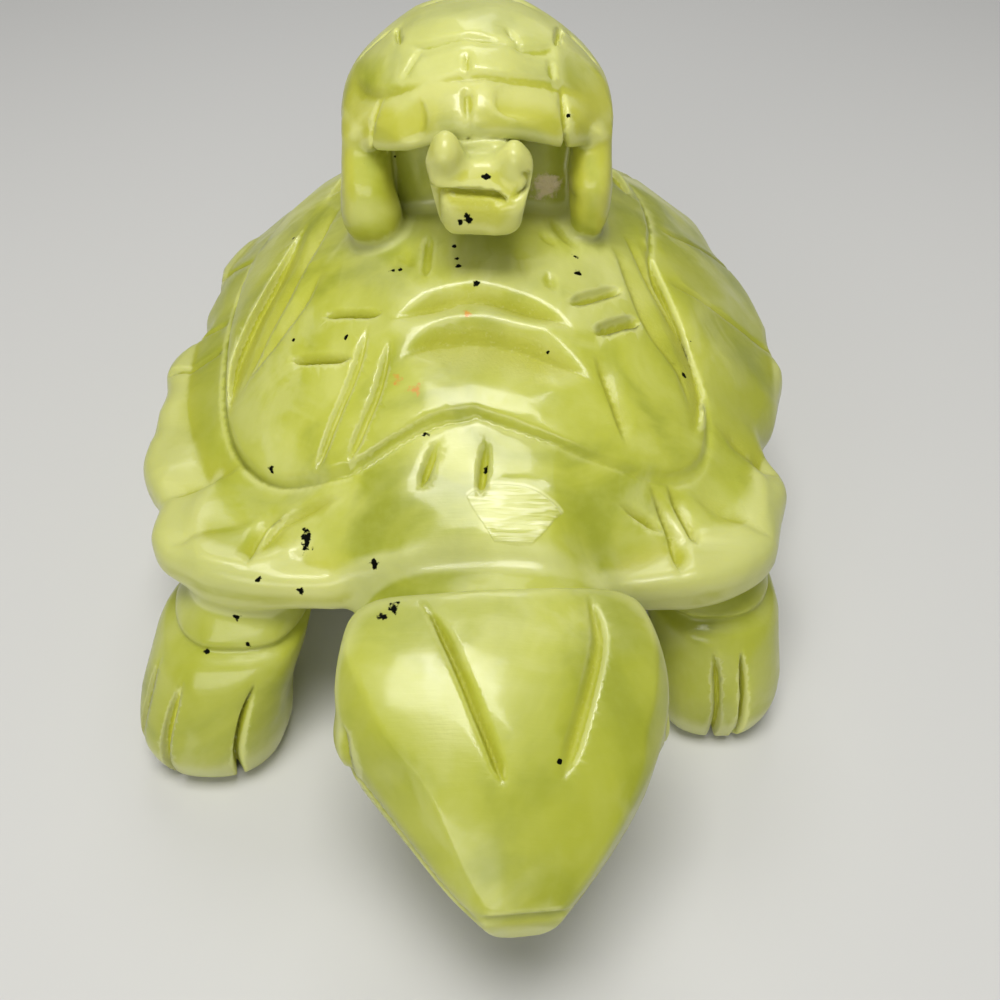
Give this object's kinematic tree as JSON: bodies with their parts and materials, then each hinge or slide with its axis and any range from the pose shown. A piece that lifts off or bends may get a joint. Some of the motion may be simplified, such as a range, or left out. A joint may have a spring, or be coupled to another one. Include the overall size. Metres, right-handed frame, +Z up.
{
  "type": "carved turtle figurine",
  "caption": "Turtle figurine carved from a block of polished yellow-green jade, with a young turtle riding on its domed shell; it stands on stumpy legs.",
  "frame": {"origin": "on the ground under the middle of the carving's outline, soles at z = 0", "axes": "+Z up, the head points to -Y, +X is the turtle's own left"},
  "size_m": [0.0996, 0.163, 0.087],
  "materials": {
    "jade": "polished"
  },
  "bodies": {
    "root": {"jade_turtle": "jade"}
  },
  "joints": []
}
